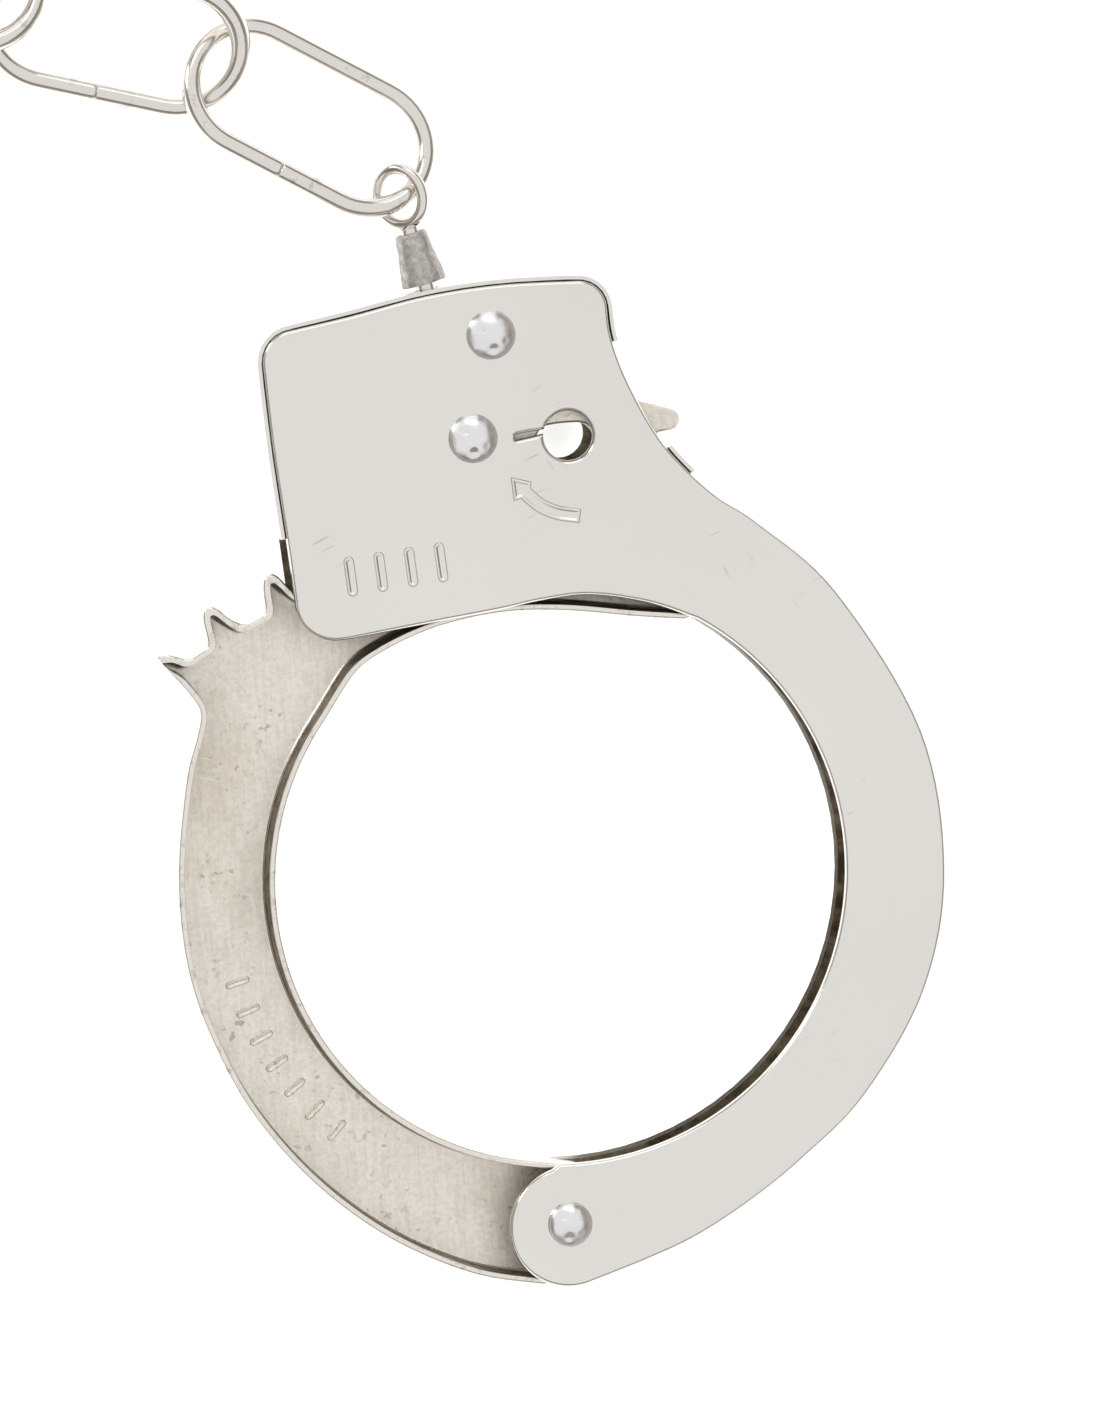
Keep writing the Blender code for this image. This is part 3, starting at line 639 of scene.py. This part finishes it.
def swing_arm(side, looks):
    """The drawn channel, with looks for its rims and outer walls, its web and its inner walls."""
    low, high, web = 1.85, 6.15, 2.45
    levels = [(low + 0.12, 0.0), (high - 0.26, 0.0), (high - 0.14, 0.04), (high - 0.04, 0.16), (high, 0.30),
              (high, 0.42), (high - 0.05, 0.56), (high - 0.20, 0.61), (web + 0.5, 0.62), (web + 0.2, 0.68),
              (web + 0.04, 0.84), (web, 1.0)]
    bm = bmesh.new()
    rings = [add_ring(bm, arm_outline(inset), z) for z, inset in [(low, 0.12)] + levels]
    for lower, upper in zip(rings, rings[1:]):
        bridge(bm, lower, upper)
    bore = [add_ring(bm, arc(ARM_PIVOT, 2.75, 0, 350, 35), z) for z in (low, web)]
    bridge(bm, *bore)
    for outline, hole in ((rings[0], bore[0]), (rings[-1], bore[1])):
        edges = loop_edges(bm, outline) + loop_edges(bm, hole)
        bmesh.ops.triangle_fill(bm, use_beauty=True, use_dissolve=False, edges=edges)
    # The inner walls get the third look, which is a brown painted shade.
    inner = {v for ring in rings[8:11] for v in ring}
    web_verts = {v for v in bm.verts if abs(v.co.z - web) < 0.05}
    for face in bm.faces:
        if all(v in web_verts for v in face.verts):
            face.material_index = 1
        elif all(v in inner for v in face.verts):
            face.material_index = 2
    finish_mesh(f"arm_channel_{side}", bm, looks, f"arm_{side}", side, 34,
                [f"swing_arm_{side}"])


def arm_ticks(side, look):
    """Plain pressed ticks on the arm's web."""
    web = 2.45
    for i in range(7):
        angle = math.radians(198 + 5.2 * i)
        x, y = 31.6 * math.cos(angle), 31.6 * math.sin(angle) - 0.4
        bm = pressed_band(bar_outline(x, y, 2.4, 0.7, math.degrees(angle)), web, 0.1, 0.3)
        finish_mesh(f"arm_tick_{i}_{side}", bm, look, f"arm_{side}", side, 24)


def pale_floor():
    """A plain floor just under the cuffs, which glows so that it stays pale."""
    floor_look = Nodes("floor_look")
    tone = floor_look.noise(6, 2, 0.5)
    floor_look.set(Base_Color=floor_look.mix(tone, (0.88, 0.88, 0.88), (0.91, 0.91, 0.905)), Roughness=0.8,
                   Metallic=0.0, Emission_Color=(1.0, 1.0, 1.0), Emission_Strength=FLOOR_GLOW)
    bm = bmesh.new()
    bmesh.ops.create_grid(bm, x_segments=1, y_segments=1, size=3.0)
    mesh = bpy.data.meshes.new("floor")
    bm.to_mesh(mesh)
    bm.free()
    mesh.materials.append(floor_look.material)
    floor = bpy.data.objects.new("floor", mesh)
    floor.location.z = -0.0002
    bpy.context.scene.collection.objects.link(floor)


def studio():
    """The surround and the soft boxes."""
    world = bpy.data.worlds.new("studio")
    world.use_nodes = True
    tree = world.node_tree
    background = tree.nodes["Background"]
    background.inputs["Color"].default_value = (*SKY_TINT, 1)
    height = tree.nodes.new("ShaderNodeSeparateXYZ")
    tree.links.new(tree.nodes.new("ShaderNodeTexCoord").outputs["Generated"], height.inputs[0])
    fade = tree.nodes.new("ShaderNodeMapRange")
    for name, value in (("From Min", 0.25), ("From Max", 0.6), ("To Min", SKY_LOW), ("To Max", SKY_HIGH)):
        fade.inputs[name].default_value = value
    tree.links.new(height.outputs["Z"], fade.inputs["Value"])
    tree.links.new(fade.outputs["Result"], background.inputs["Strength"])
    bpy.context.scene.world = world
    bpy.context.scene.view_settings.view_transform = "Standard"
    for name, at, size, power in LAMPS:
        light = bpy.data.lights.new(name, "AREA")
        light.shape = "SQUARE"
        light.size = size
        light.energy = power
        lamp = bpy.data.objects.new(name, light)
        lamp.location = at
        lamp.rotation_euler = (-Vector(at)).to_track_quat("-Z", "Y").to_euler()
        bpy.context.scene.collection.objects.link(lamp)


def aim_camera():
    target = Vector((CUFF_CENTRE[0] - 1.0, CUFF_CENTRE[1] + 15.5, FRONT_FACE)) * MM
    west, north = (math.tan(math.radians(angle)) for angle in CAMERA_TILT)
    back = Vector((-west, north, 1)).normalized()
    up = (Vector((0, 1, 0)) - back * back.y).normalized()
    turn = Matrix((up.cross(back), up, back)).transposed()
    lens = bpy.data.cameras.new("camera")
    lens.sensor_fit = "VERTICAL"
    lens.sensor_height = 36.0
    lens.lens = lens.sensor_height * CAMERA_DISTANCE / CAMERA_HEIGHT
    lens.clip_start = 0.01
    camera = bpy.data.objects.new("camera", lens)
    camera.matrix_world = Matrix.Translation(target + back * CAMERA_DISTANCE) @ turn.to_4x4()
    bpy.context.scene.collection.objects.link(camera)
    bpy.context.scene.camera = camera


def main():
    pale_floor()
    studio()
    aim_camera()
    looks = {"nickel_plate": nickel(), "worn_nickel": worn_nickel(), "aluminium": aluminium(),
             "cast_zinc": cast_zinc(), "spring_steel": dull_steel(), "bright_wire": bright_wire()}
    # The rear shells' upward inside faces get painted brown shade.
    shell_look = nickel("nickel_shell_look", REAR_INSIDE + 0.1)
    for part in frame["record"]["subparts"]:
        node = frame["nodes"][part["node"]]
        node.data.materials.clear()
        shell = part["node"].startswith("rear_shell")
        node.data.materials.append(shell_look if shell else looks[part["material_slot"]])
    # The arm's inner walls get the brown painted-shade look.
    rim, inside = rim_nickel(), painted_shade_nickel()
    for number, side in enumerate("ab"):
        front_plate(side, looks["nickel_plate"])
        for k, (name, centre, head) in enumerate(RIVETS):
            hammered_rivet(name, centre, head, side, looks["aluminium"], 3 * number + k - 1)
        swivel(side, looks["bright_wire"], looks["cast_zinc"])
        pawl_spring(side, looks["spring_steel"])
        swing_arm(side, (rim, looks["worn_nickel"], inside))
        arm_ticks(side, looks["worn_nickel"])
    x, y, z = LINK_1_CENTRE
    x, y = x + CUFF_CENTRE[0], y + CUFF_CENTRE[1]
    wire = looks["bright_wire"]
    chain_link(1, (x, y, z), 152.5, 18, "link_a", wire)
    chain_link(2, (0, 0, MID_Z), 168.0, -22, "link_middle", wire)
    chain_link(3, (-x, -y, 2 * MID_Z - z), 152.5, 18, "link_b", wire)


main()
